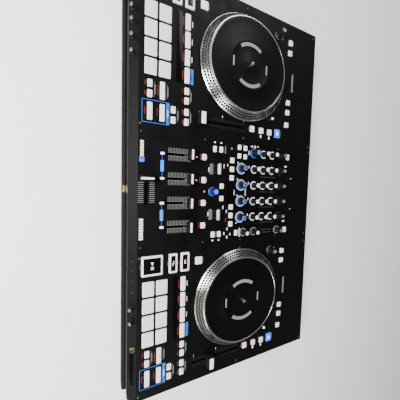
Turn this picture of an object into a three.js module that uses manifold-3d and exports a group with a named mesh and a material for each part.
// Two-deck, four-channel controller for playing and mixing music, with motor-driven platters.
// Millimetres, +Z up. The origin is under the middle of the case, on the surface it stands on.
// +X runs to the player's right and +Y runs away from the player.

import * as THREE from 'three';
import { mergeVertices } from 'three/addons/utils/BufferGeometryUtils.js';
import Module from 'manifold-3d';

const wasm = await Module();
wasm.setup();

// ---------------------------------------------------------------- driving dimensions

const WIDTH = 800;
const DEPTH = 460;
const PANEL_Z = 70; // top face of the deck and mixer plates
const PLATE = 2.5; // thickness of the plates and of the case walls
const FOOT_HEIGHT = 8;
const GAP = 0.3; // between pieces that touch
const KEY_GAP = 0.6; // round each key and pad, in its hole

const LEFT = -WIDTH / 2;
const RIGHT = WIDTH / 2;
const FRONT = -DEPTH / 2;
const BACK = DEPTH / 2;
const PLATE_UNDER = PANEL_Z - PLATE;
const FLOOR_Z = FOOT_HEIGHT + PLATE;

// The front edge: the plates end, a bevel drops, an upright face follows and a ledge stands out below.
const BEVEL_BACK_Y = -206;
const BEVEL_FRONT_Y = -222;
const BEVEL_DROP = 13;
const LEDGE_Z = 34;

// Seams between the left deck plate, the mixer plate and the right deck plate.
const SEAM_LEFT = -112;
const SEAM_RIGHT = 118;

// Both decks have the same layout, given from the centre of the platter.
const DECKS = [
  { side: 'left', x: -264.6, y: 17.6, pitchRest: -88 },
  { side: 'right', x: 236.6, y: 17.6, pitchRest: -56 },
];

const PLATTER_RADIUS = 109.4;
const PLATTER_RIM_RADIUS = 94.5;
const PLATTER_HEIGHT = 18;
const PLATTER_SEAT = 15;
const PLATTER_SEGMENTS = 48;
const RECORD_RADIUS = 91.5;
const RECORD_THICKNESS = 2.2;
const SPINDLE_RADIUS = 3.5;
const HUB_HOLE_RADIUS = 24;
const MOTOR_RADIUS = 46;

const PAD_PITCH = [32.5, 25.6];
const PAD_SIZE = [29, 22.6];
const PAD_FIELD = [-3.3, -190.5]; // centre of the four-by-two pads
const PAD_HEIGHT = 3;

const KEY_HEIGHT = 2.5;
const KEY_WEB_Z = 60; // the sheet under the plate that carries the keys or pads
const KEY_WEB = 2;

// Keys in front of each platter: [x, y, width, depth] from the centre of the platter.
const MODE_KEYS = [0, 1, 2, 3].map((i) => [PAD_FIELD[0] + (i - 1.5) * PAD_PITCH[0], -134.6, 29.4, 10.8]);
const LOOP_KEYS = [
  [74.4, -134.6, 13.8, 10],
  [92.4, -134.6, 13.8, 10],
  [113.8, -134.6, 13.8, 10],
  [132.4, -134.6, 13.8, 10],
  [113.6, -160.9, 13.8, 10],
  [132.4, -160.9, 13.8, 10],
  [83.4, -181.7, 32.4, 10],
  [74.4, -204.6, 13.8, 10],
  [92.4, -204.6, 13.8, 10],
  [122.8, -181.7, 32, 10.4],
  [122.8, -204.2, 32, 10.4],
];
const TRANSPORT_KEYS = [
  [-94.8, -101.4, 15.5, 15],
  [-95.9, -131.6, 38, 18],
  [-95.9, -156.1, 38, 17],
  [-95.9, -196.6, 38, 40],
];

const STOP_KNOB = [-98.4, 87.4];
const PITCH_SLOT_X = 123.6;
const PITCH_CENTRE_Y = -37;
const PITCH_TRAVEL = 104;

// Mixer: four channels, each with five knobs above one fader.
const CHANNEL_X = [-52, -16, 19.8, 55.6];
const KNOB_ROWS = [
  ['trim', 127.5],
  ['high', 102],
  ['mid', 76],
  ['low', 50],
  ['filter', 15],
];
const EFFECT_KNOB = [-88, 48];
const BROWSE_KNOB = [0, -56];
const KNOB_TOP = 17; // above the panel
const KNOB_RADIUS = 6.8;
const KNOB_SHAFT_RADIUS = 3;
const KNOB_HOLE_RADIUS = 3.8;
const KNOB_SEGMENTS = 12;

const FADER_X = [-69.3, -23.2, 23.2, 69.3];
const FADER_TOP_Y = -109;
const FADER_TRAVEL = 45;
const CROSSFADER_Y = -192;
const CROSSFADER_CENTRE_X = 1.5;
const SLOT_WIDTH = 3;
const STEM_LENGTH = 3.6;

const PADDLE_X = [-46.5, 47.5];
const PADDLE_Y = -47;
const PADDLE_PIVOT_Z = 62;
const PADDLE_SLOT = [8, 10];

const DISPLAY = [0, -14.5, 46, 19];

const REAR_Y = 220; // outer face of the rear panel, inside the overhang of the case
const SOCKET_BOARD_Y = 205;
const RCA_X = [-150, -126, -90, -66, -30, -6];
const RCA_Z = [30, 50];
const XLR_X = [60, 95];
const XLR_Z = 40;
const USB_X = [150, 180];
const INLET_X = 340;
const SWITCH_X = 300;
const REAR_CENTRE_Z = 40;

const HEADPHONE_X = -2;
const HEADPHONE_Z = 46;

// ---------------------------------------------------------------- materials

const matte = (color, roughness = 0.75, metalness = 0) =>
  new THREE.MeshStandardMaterial({ color, roughness, metalness });

const looks = {
  case: () => matte(0x18181a, 0.8),
  plate: () => matte(0x1d1d1f, 0.6, 0.3),
  steel: () => matte(0x2a2a2d, 0.5, 0.6),
  rubber: () => matte(0x101011, 0.95),
  board: () => matte(0x14532f, 0.6),
  supply: () => matte(0xb4b6b8, 0.4, 0.9),
  motor: () => matte(0x8d9093, 0.35, 0.9),
  platter: () => matte(0xc9cbcc, 0.25, 1),
  record: () => matte(0x0c0c0d, 0.35),
  pad: () => matte(0xd3d4cf, 0.7),
  key: () => matte(0xdcdcd6, 0.6),
  knob: () => matte(0x161618, 0.7),
  filterKnob: () => matte(0x2f62c8, 0.6),
  fader: () => matte(0x1a1a1c, 0.6),
  paddle: () => matte(0xbfc1c3, 0.3, 0.9),
  display: () => matte(0x050506, 0.1),
  socket: () => matte(0x222224, 0.5, 0.4),
  gold: () => matte(0xc9a24a, 0.3, 1),
};

// ---------------------------------------------------------------- shape helpers

// A closed manifold solid from a three.js geometry, without its pole and seam triangles of no area.
function toSolid(geometry) {
  const bare = geometry.clone();
  bare.deleteAttribute('normal');
  bare.deleteAttribute('uv');
  const merged = mergeVertices(bare, 1e-4);
  const kept = [];
  for (let i = 0; i < merged.index.count; i += 3) {
    const [a, b, c] = [merged.index.getX(i), merged.index.getX(i + 1), merged.index.getX(i + 2)];
    if (a !== b && b !== c && a !== c) kept.push(a, b, c);
  }
  const mesh = new wasm.Mesh({
    numProp: 3,
    vertProperties: new Float32Array(merged.attributes.position.array),
    triVerts: new Uint32Array(kept),
  });
  return new wasm.Manifold(mesh);
}

function toGeometry(solid) {
  const mesh = solid.getMesh();
  const geometry = new THREE.BufferGeometry();
  geometry.setAttribute('position', new THREE.BufferAttribute(mesh.vertProperties, 3));
  geometry.setIndex(new THREE.BufferAttribute(mesh.triVerts, 1));
  return geometry;
}

const join = (geometries) => toGeometry(geometries.map(toSolid).reduce((a, b) => a.add(b)));

const cut = (geometry, tools) =>
  toGeometry(tools.map(toSolid).reduce((rest, tool) => rest.subtract(tool), toSolid(geometry)));

// A block from its lowest to its highest corner.
function block(x0, x1, y0, y1, z0, z1) {
  const geometry = new THREE.BoxGeometry(x1 - x0, y1 - y0, z1 - z0);
  geometry.translate((x0 + x1) / 2, (y0 + y1) / 2, (z0 + z1) / 2);
  return geometry;
}

// A block standing on a rectangle [x, y, width, depth].
const blockOn = ([x, y, w, d], z0, z1) => block(x - w / 2, x + w / 2, y - d / 2, y + d / 2, z0, z1);

// A solid of revolution about Z from a profile of [radius, height].
function turned(profile, segments) {
  const points = profile.map(([r, h]) => new THREE.Vector2(r, h));
  const geometry = new THREE.LatheGeometry(points, segments);
  geometry.rotateX(Math.PI / 2);
  return toGeometry(toSolid(geometry));
}

const rod = ([x, y], radius, z0, z1, segments = KNOB_SEGMENTS) => {
  const geometry = turned([[0, z0], [radius, z0], [radius, z1], [0, z1]], segments);
  geometry.translate(x, y, 0);
  return geometry;
};

// A rod whose axis lies along Y.
function rodAlongY(x, z, radius, y0, y1, segments = KNOB_SEGMENTS) {
  const geometry = turned([[0, y0], [radius, y0], [radius, y1], [0, y1]], segments);
  geometry.rotateX(-Math.PI / 2);
  geometry.translate(x, 0, z);
  return geometry;
}

// Outlines of holes, as lists of corners.
const rectangle = ([x, y, w, d]) => [
  new THREE.Vector2(x - w / 2, y - d / 2),
  new THREE.Vector2(x + w / 2, y - d / 2),
  new THREE.Vector2(x + w / 2, y + d / 2),
  new THREE.Vector2(x - w / 2, y + d / 2),
];

function circle([x, y], radius, sides = KNOB_SEGMENTS) {
  const points = [];
  for (let i = 0; i < sides; i += 1) {
    const angle = (2 * Math.PI * i) / sides;
    points.push(new THREE.Vector2(x + radius * Math.cos(angle), y + radius * Math.sin(angle)));
  }
  return points;
}

// A flat sheet over a rectangle, with holes right through it.
function sheet([x, y, w, d], holes, z0, z1) {
  const tools = holes.map((hole) => {
    const shape = new THREE.Shape(hole);
    const tool = new THREE.ExtrudeGeometry(shape, { depth: z1 - z0 + 2, bevelEnabled: false });
    tool.translate(0, 0, z0 - 1);
    return tool;
  });
  return cut(blockOn([x, y, w, d], z0, z1), tools);
}

// A bar of the given [y, z] outline that runs along X.
function barAlongX(outline, x0, x1) {
  const shape = new THREE.Shape(outline.map(([y, z]) => new THREE.Vector2(y, z)));
  const geometry = new THREE.ExtrudeGeometry(shape, { depth: x1 - x0, bevelEnabled: false });
  geometry.rotateX(Math.PI / 2);
  geometry.rotateZ(Math.PI / 2);
  geometry.translate(x0, 0, 0);
  return geometry;
}

const grown = ([x, y, w, d], by) => [x, y, w + 2 * by, d + 2 * by];
const shifted = ([x, y, w, d], deck) => [x + deck.x, y + deck.y, w, d];

const group = new THREE.Group();

function addPart(name, geometry, material, position = [0, 0, 0]) {
  const mesh = new THREE.Mesh(geometry, material);
  mesh.name = name;
  mesh.position.set(...position);
  group.add(mesh);
}

// ---------------------------------------------------------------- case, plates and feet

const CASE_OUTLINE = [
  [FRONT, FOOT_HEIGHT],
  [BACK, FOOT_HEIGHT],
  [BACK, PLATE_UNDER - GAP],
  [BEVEL_BACK_Y, PLATE_UNDER - GAP],
  [BEVEL_BACK_Y, PANEL_Z - PLATE - 1.1],
  [BEVEL_FRONT_Y + PLATE + GAP, PANEL_Z - BEVEL_DROP - 1.4],
  [BEVEL_FRONT_Y + PLATE + GAP, LEDGE_Z],
  [FRONT + 4, LEDGE_Z],
  [FRONT, LEDGE_Z - 4],
];
const CASE_INSIDE = [
  [FRONT + PLATE, FLOOR_Z],
  [BACK + 10, FLOOR_Z],
  [BACK + 10, PANEL_Z + 30],
  [BEVEL_FRONT_Y + 1.5, PANEL_Z + 30],
  [BEVEL_FRONT_Y + 1.5, LEDGE_Z - PLATE],
  [FRONT + 5, LEDGE_Z - PLATE],
  [FRONT + PLATE, LEDGE_Z - 5],
];
const POST_RADIUS = 4;
const POSTS = [-391, -106, 112, 391].flatMap((x) => [[x, -190], [x, 200]]);

function bottomCase() {
  const hollowed = cut(barAlongX(CASE_OUTLINE, LEFT, RIGHT), [
    barAlongX(CASE_INSIDE, LEFT + PLATE, RIGHT - PLATE),
  ]);
  const posts = POSTS.map((at) => rod(at, POST_RADIUS, FLOOR_Z - 1, PLATE_UNDER - GAP, 8));
  return join([hollowed, ...posts]);
}

const FRONT_OUTLINE = [
  [BEVEL_BACK_Y - GAP, PANEL_Z],
  [BEVEL_FRONT_Y, PANEL_Z - BEVEL_DROP],
  [BEVEL_FRONT_Y, LEDGE_Z + GAP],
  [BEVEL_FRONT_Y + PLATE, LEDGE_Z + GAP],
  [BEVEL_FRONT_Y + PLATE, PANEL_Z - BEVEL_DROP - 1.1],
  [BEVEL_BACK_Y - GAP, PANEL_Z - PLATE - 0.8],
];
const HEADPHONE_HOLE = 6;

function frontPanel() {
  const hole = rodAlongY(HEADPHONE_X, HEADPHONE_Z, HEADPHONE_HOLE, BEVEL_FRONT_Y - 5, BEVEL_FRONT_Y + 10, 16);
  return cut(barAlongX(FRONT_OUTLINE.slice().reverse(), LEFT, RIGHT), [hole]);
}

const deckKeys = () => [...MODE_KEYS, ...LOOP_KEYS, ...TRANSPORT_KEYS];
const padOpening = () => [
  ...PAD_FIELD,
  4 * PAD_PITCH[0] - (PAD_PITCH[0] - PAD_SIZE[0]) + 2 * KEY_GAP,
  2 * PAD_PITCH[1] - (PAD_PITCH[1] - PAD_SIZE[1]) + 2 * KEY_GAP,
];

function plateOver(x0, x1, holes) {
  const area = [(x0 + x1) / 2, (BACK + BEVEL_BACK_Y) / 2, x1 - x0, BACK - BEVEL_BACK_Y];
  return sheet(area, holes, PLATE_UNDER, PANEL_Z);
}

function deckPlate(deck, x0, x1) {
  const keyHoles = deckKeys().map((key) => rectangle(shifted(grown(key, KEY_GAP), deck)));
  const pitchSlot = [
    deck.x + PITCH_SLOT_X,
    PITCH_CENTRE_Y,
    SLOT_WIDTH,
    PITCH_TRAVEL + STEM_LENGTH + 2,
  ];
  return plateOver(x0, x1, [
    circle([deck.x, deck.y], HUB_HOLE_RADIUS, 24),
    rectangle(shifted(padOpening(), deck)),
    rectangle(pitchSlot),
    circle([deck.x + STOP_KNOB[0], deck.y + STOP_KNOB[1]], KNOB_HOLE_RADIUS),
    ...keyHoles,
  ]);
}

const SLOT_SPAN = FADER_TRAVEL + STEM_LENGTH + 2;

function mixerPlate() {
  const knobHoles = CHANNEL_X.flatMap((x) => KNOB_ROWS.map(([, y]) => circle([x, y], KNOB_HOLE_RADIUS)));
  const faderSlots = FADER_X.map((x) =>
    rectangle([x, FADER_TOP_Y - FADER_TRAVEL / 2, SLOT_WIDTH, SLOT_SPAN]));
  const paddleSlots = PADDLE_X.map((x) => rectangle([x, PADDLE_Y, ...PADDLE_SLOT]));
  return plateOver(SEAM_LEFT + GAP / 2, SEAM_RIGHT - GAP / 2, [
    ...knobHoles,
    circle(EFFECT_KNOB, KNOB_HOLE_RADIUS),
    circle(BROWSE_KNOB, KNOB_HOLE_RADIUS),
    ...faderSlots,
    rectangle([CROSSFADER_CENTRE_X, CROSSFADER_Y, SLOT_SPAN, SLOT_WIDTH]),
    ...paddleSlots,
    rectangle(grown(DISPLAY, KEY_GAP)),
  ]);
}

const FOOT_PROFILE = [[0, 0], [11, 0], [12.5, 2], [12.5, FOOT_HEIGHT - GAP], [0, FOOT_HEIGHT - GAP]];
const FOOT_X = 350;
const FOOT_Y = 185;

addPart('bottom_case', bottomCase(), looks.case());
addPart('front_panel', frontPanel(), looks.plate());
addPart('left_deck_plate', deckPlate(DECKS[0], LEFT, SEAM_LEFT - GAP / 2), looks.plate());
addPart('mixer_plate', mixerPlate(), looks.plate());
addPart('right_deck_plate', deckPlate(DECKS[1], SEAM_RIGHT + GAP / 2, RIGHT), looks.plate());
for (const [end, y] of [['front', -FOOT_Y], ['rear', FOOT_Y]]) {
  for (const [side, x] of [['left', -FOOT_X], ['right', FOOT_X]]) {
    addPart(`foot_${end}_${side}`, turned(FOOT_PROFILE, 20), looks.rubber(), [x, y, 0]);
  }
}

// ---------------------------------------------------------------- platters, records and motors

const HUB_RADIUS = 14;
const HUB_UNDER = PANEL_Z - 8;
const SHAFT_RADIUS = 4;
const SHAFT_UNDER = 26;
const MOTOR_TOP = 60;
const MOTOR_UNDER = 20;
const PLATTER_SKIRT = 1.5; // gap under the rim of the platter

// Rim bevelled at 45 degrees, sunken seat for the record, spindle on top, hub and motor shaft below.
function platter() {
  const bevelTop = PANEL_Z + PLATTER_HEIGHT;
  const underTop = PANEL_Z + PLATTER_SEAT - 3;
  return turned([
    [0, SHAFT_UNDER],
    [SHAFT_RADIUS, SHAFT_UNDER],
    [SHAFT_RADIUS, HUB_UNDER],
    [HUB_RADIUS, HUB_UNDER],
    [HUB_RADIUS, underTop],
    [90, underTop],
    [PLATTER_RADIUS - 6, PANEL_Z + PLATTER_SKIRT],
    [PLATTER_RADIUS, PANEL_Z + PLATTER_SKIRT],
    [PLATTER_RADIUS, PANEL_Z + PLATTER_SKIRT + 1.5],
    [PLATTER_RIM_RADIUS, bevelTop],
    [PLATTER_RIM_RADIUS - 2, bevelTop],
    [PLATTER_RIM_RADIUS - 2, PANEL_Z + PLATTER_SEAT],
    [SPINDLE_RADIUS, PANEL_Z + PLATTER_SEAT],
    [SPINDLE_RADIUS, PANEL_Z + 25],
    [SPINDLE_RADIUS - 1, PANEL_Z + 26.5],
    [0, PANEL_Z + 26.5],
  ], PLATTER_SEGMENTS);
}

// A ring, so its profile closes on itself.
function ring(inner, outer, z0, z1, segments) {
  return turned([[inner, z0], [outer, z0], [outer, z1], [inner, z1], [inner, z0]], segments);
}

function record() {
  const under = PANEL_Z + PLATTER_SEAT + GAP;
  return ring(SPINDLE_RADIUS + 0.4, RECORD_RADIUS, under, under + RECORD_THICKNESS, PLATTER_SEGMENTS);
}

// Stator under the deck plate, hung from three pillars, with a bore for the platter's shaft.
function motor() {
  const pillars = [0, 1, 2].map((i) => {
    const angle = (2 * Math.PI * i) / 3 + Math.PI / 6;
    const at = [(MOTOR_RADIUS - 8) * Math.cos(angle), (MOTOR_RADIUS - 8) * Math.sin(angle)];
    return rod(at, 4, MOTOR_TOP - 1, PLATE_UNDER - GAP, 8);
  });
  const stator = ring(SHAFT_RADIUS + 2, MOTOR_RADIUS, MOTOR_UNDER, MOTOR_TOP, 32);
  return join([stator, ...pillars]);
}

for (const deck of DECKS) {
  addPart(`${deck.side}_platter`, platter(), looks.platter(), [deck.x, deck.y, 0]);
  addPart(`${deck.side}_record`, record(), looks.record(), [deck.x, deck.y, 0]);
  addPart(`${deck.side}_motor`, motor(), looks.motor(), [deck.x, deck.y, 0]);
}

// ---------------------------------------------------------------- pads and keys

// Eight silicone pads moulded on one sheet that lies under the deck plate.
function padMat() {
  const web = blockOn([...PAD_FIELD, 129, 51], KEY_WEB_Z, KEY_WEB_Z + KEY_WEB);
  const pads = [];
  for (let column = 0; column < 4; column += 1) {
    for (let row = 0; row < 2; row += 1) {
      const x = PAD_FIELD[0] + (column - 1.5) * PAD_PITCH[0];
      const y = PAD_FIELD[1] + (row - 0.5) * PAD_PITCH[1];
      pads.push(blockOn([x, y, ...PAD_SIZE], KEY_WEB_Z + KEY_WEB / 2, PANEL_Z + PAD_HEIGHT));
    }
  }
  return join([web, ...pads]);
}

// The keys round the pads, moulded on one frame that passes round the pad mat.
function keyFrame() {
  const web = cut(block(-117, 142, -219, -90, KEY_WEB_Z, KEY_WEB_Z + KEY_WEB), [
    blockOn([PAD_FIELD[0], PAD_FIELD[1] - 10, 136, 77], KEY_WEB_Z - 5, KEY_WEB_Z + 5),
    block(-80, 150, -124, -80, KEY_WEB_Z - 5, KEY_WEB_Z + 5),
  ]);
  const keys = deckKeys().map((key) => blockOn(key, KEY_WEB_Z + KEY_WEB / 2, PANEL_Z + KEY_HEIGHT));
  return join([web, ...keys]);
}

for (const deck of DECKS) {
  addPart(`${deck.side}_pad_mat`, padMat(), looks.pad(), [deck.x, deck.y, 0]);
  addPart(`${deck.side}_key_frame`, keyFrame(), looks.key(), [deck.x, deck.y, 0]);
}

// ---------------------------------------------------------------- knobs

const SHAFT_BOTTOM = 56;
const KNOB_FOOT = 0.8; // gap between the knob's skirt and the panel

// Knob with its shaft and a raised pointer, centred on the shaft.
function knob(radius, topRadius, top) {
  const body = turned([
    [0, SHAFT_BOTTOM],
    [KNOB_SHAFT_RADIUS, SHAFT_BOTTOM],
    [KNOB_SHAFT_RADIUS, PANEL_Z + KNOB_FOOT],
    [radius, PANEL_Z + KNOB_FOOT],
    [topRadius, PANEL_Z + top],
    [0, PANEL_Z + top],
  ], KNOB_SEGMENTS);
  const pointer = block(-0.8, 0.8, topRadius * 0.2, topRadius * 0.8, PANEL_Z + top - 1, PANEL_Z + top + 0.6);
  return join([body, pointer]);
}

CHANNEL_X.forEach((x, i) => {
  for (const [row, y] of KNOB_ROWS) {
    const isFilter = row === 'filter';
    const shape = isFilter ? knob(KNOB_RADIUS + 1, KNOB_RADIUS, KNOB_TOP) : knob(KNOB_RADIUS, 5.4, KNOB_TOP);
    const material = isFilter ? looks.filterKnob() : looks.knob();
    addPart(`channel_${i + 1}_${row}_knob`, shape, material, [x, y, 0]);
  }
});
addPart('effect_amount_knob', knob(9, 7.6, KNOB_TOP + 1), looks.filterKnob(), [...EFFECT_KNOB, 0]);
addPart('browse_knob', knob(8.4, 7, KNOB_TOP + 1), looks.filterKnob(), [...BROWSE_KNOB, 0]);
for (const deck of DECKS) {
  const at = [deck.x + STOP_KNOB[0], deck.y + STOP_KNOB[1], 0];
  addPart(`${deck.side}_stop_time_knob`, knob(8, 6.4, KNOB_TOP + 2), looks.knob(), at);
}

// ---------------------------------------------------------------- faders and paddles

// Cap over a thin stem with a carriage under the plate; it slides along Y.
function fader(width, length, under, top) {
  const cap = barAlongX([
    [-length / 2, PANEL_Z + under],
    [length / 2, PANEL_Z + under],
    [length / 2 - 1.5, PANEL_Z + top],
    [1.5, PANEL_Z + top - 1.5],
    [-1.5, PANEL_Z + top - 1.5],
    [-length / 2 + 1.5, PANEL_Z + top],
  ], -width / 2, width / 2);
  const stem = blockOn([0, 0, 1.6, STEM_LENGTH], PLATE_UNDER - 8, PANEL_Z + under + 1);
  const carriage = blockOn([0, 0, 8, 14], PLATE_UNDER - 9, PLATE_UNDER - 6);
  return join([cap, stem, carriage]);
}

FADER_X.forEach((x, i) => {
  addPart(`channel_${i + 1}_fader`, fader(20, 13, 7, 20), looks.fader(), [x, FADER_TOP_Y, 0]);
});

const crossfader = fader(24, 12, 7, 20);
crossfader.rotateZ(Math.PI / 2);
const CROSSFADER_REST_X = CROSSFADER_CENTRE_X - FADER_TRAVEL / 2;
addPart('crossfader', crossfader, looks.fader(), [CROSSFADER_REST_X, CROSSFADER_Y, 0]);

for (const deck of DECKS) {
  const at = [deck.x + PITCH_SLOT_X, deck.pitchRest, 0];
  addPart(`${deck.side}_pitch_fader`, fader(24, 15, 5, 19), looks.fader(), at);
}

// Bar on a lever that pivots under the plate, about an axis along X.
function paddle() {
  const lever = block(-2.5, 2.5, -1.5, 1.5, PADDLE_PIVOT_Z, PANEL_Z + 10);
  const bar = barAlongX([
    [-4, PANEL_Z + 9],
    [4, PANEL_Z + 9],
    [3, PANEL_Z + 15],
    [-3, PANEL_Z + 15],
  ], -11.5, 11.5);
  const pivot = turned([[0, -6], [2.5, -6], [2.5, 6], [0, 6]], 10);
  pivot.rotateY(Math.PI / 2);
  pivot.translate(0, 0, PADDLE_PIVOT_Z);
  return join([lever, bar, pivot]);
}

addPart('left_effect_paddle', paddle(), looks.paddle(), [PADDLE_X[0], PADDLE_Y, 0]);
addPart('right_effect_paddle', paddle(), looks.paddle(), [PADDLE_X[1], PADDLE_Y, 0]);

// ---------------------------------------------------------------- display, boards and power supply

addPart('display_module', blockOn(DISPLAY, PLATE_UNDER - 4, PANEL_Z - 0.4), looks.display());

function mainBoard() {
  const board = block(-100, 104, -172, 96, 24, 25.6);
  const chips = [[-40, 30], [30, 30], [-40, -60], [35, -70]].map((at) => blockOn([...at, 22, 22], 25, 28));
  return join([board, ...chips]);
}

function powerSupply() {
  const tray = block(-50, 60, 108, 180, 11, 44);
  const terminal = block(40, 70, 120, 168, 14, 26);
  return join([tray, terminal]);
}

addPart('main_board', mainBoard(), looks.board());
addPart('power_supply', powerSupply(), looks.supply());

// ---------------------------------------------------------------- rear panel and sockets

const XLR_RADIUS = 12;
const RCA_RADIUS = 4.2;
const SOCKET_CLEARANCE = 0.5;
const USB_BODY = [14, 13];
const INLET_BODY = [30, 23];
const SWITCH_BODY = [14, 20];

// Holes in the upright rear panel, drawn as [x, z] and stood up afterwards.
function rearPanel() {
  const halfHeight = (PLATE_UNDER - GAP - FLOOR_Z - GAP) / 2;
  const middleZ = FLOOR_Z + GAP + halfHeight;
  const across = WIDTH - 2 * (PLATE + GAP);
  const hole = ([w, h], x) => rectangle([x, REAR_CENTRE_Z, w + 2 * SOCKET_CLEARANCE, h + 2 * SOCKET_CLEARANCE]);
  const holes = [
    ...RCA_X.flatMap((x) => RCA_Z.map((z) => circle([x, z], RCA_RADIUS + SOCKET_CLEARANCE))),
    ...XLR_X.map((x) => circle([x, XLR_Z], XLR_RADIUS + SOCKET_CLEARANCE, 20)),
    ...USB_X.map((x) => hole(USB_BODY, x)),
    hole(INLET_BODY, INLET_X),
    hole(SWITCH_BODY, SWITCH_X),
  ];
  const panel = sheet([0, middleZ, across, 2 * halfHeight - GAP], holes, 0, PLATE - GAP);
  panel.rotateX(Math.PI / 2);
  panel.translate(0, REAR_Y, 0);
  return panel;
}

// One board behind the rear panel carries all the signal sockets.
function rearSockets() {
  const board = block(-165, 195, SOCKET_BOARD_Y, SOCKET_BOARD_Y + 2, 22, 58);
  const barrels = RCA_X.flatMap((x) =>
    RCA_Z.map((z) => rodAlongY(x, z, RCA_RADIUS, SOCKET_BOARD_Y + 1, REAR_Y + 8)));
  const shells = XLR_X.map((x) => rodAlongY(x, XLR_Z, XLR_RADIUS, SOCKET_BOARD_Y + 1, REAR_Y + 1, 20));
  const hollows = XLR_X.map((x) => rodAlongY(x, XLR_Z, XLR_RADIUS - 2.4, REAR_Y - 11, REAR_Y + 5, 20));
  const usb = ([w, h], x, y0, y1) => block(x - w / 2, x + w / 2, y0, y1, REAR_CENTRE_Z - h / 2, REAR_CENTRE_Z + h / 2);
  const usbShells = USB_X.map((x) => usb(USB_BODY, x, SOCKET_BOARD_Y + 1, REAR_Y + 1));
  const usbHollows = USB_X.map((x) => usb([8.6, 7.8], x, REAR_Y - 9, REAR_Y + 5));
  return cut(join([board, ...barrels, ...shells, ...usbShells]), [...hollows, ...usbHollows]);
}

// Recessed mains inlet with a flange outside the panel.
function powerInlet() {
  const around = ([w, h], y0, y1) =>
    block(INLET_X - w / 2, INLET_X + w / 2, y0, y1, REAR_CENTRE_Z - h / 2, REAR_CENTRE_Z + h / 2);
  const body = around(INLET_BODY, REAR_Y - 22, REAR_Y + 1);
  const flange = around([INLET_BODY[0] + 8, INLET_BODY[1] + 4], REAR_Y + GAP, REAR_Y + 2.3);
  return cut(join([body, flange]), [around([25, 17], REAR_Y - 16, REAR_Y + 5)]);
}

// Rocker with a ridge across the middle; it tips about an axis along X.
function powerSwitch() {
  const [width, height] = SWITCH_BODY;
  return barAlongX([
    [-9, -height / 2 + 3],
    [1.5, -height / 2 + 1],
    [2.6, -height / 2 + 1],
    [1.2, 0],
    [2.6, height / 2 - 1],
    [1.5, height / 2 - 1],
    [-9, height / 2 - 3],
  ], -width / 2 + 0.5, width / 2 - 0.5);
}

addPart('rear_panel', rearPanel(), looks.steel());
addPart('rear_sockets', rearSockets(), looks.socket());
addPart('power_inlet', powerInlet(), looks.socket());
addPart('power_switch', powerSwitch(), looks.case(), [SWITCH_X, REAR_Y, REAR_CENTRE_Z]);

// ---------------------------------------------------------------- headphone socket

// Threaded bush through the front panel with a body behind it; its bore opens towards -Y.
function headphoneJack() {
  const profile = turned([
    [0, -18],
    [8, -18],
    [8, -PLATE - GAP],
    [HEADPHONE_HOLE - 0.6, -PLATE - GAP],
    [HEADPHONE_HOLE - 0.6, 4],
    [6.8, 4.5],
    [6.8, 7],
    [3.3, 7],
    [3.3, -14],
    [0, -14],
  ], 16);
  profile.rotateX(Math.PI / 2);
  return profile;
}

addPart('headphone_jack', headphoneJack(), looks.gold(), [HEADPHONE_X, BEVEL_FRONT_Y, HEADPHONE_Z]);

export default group;
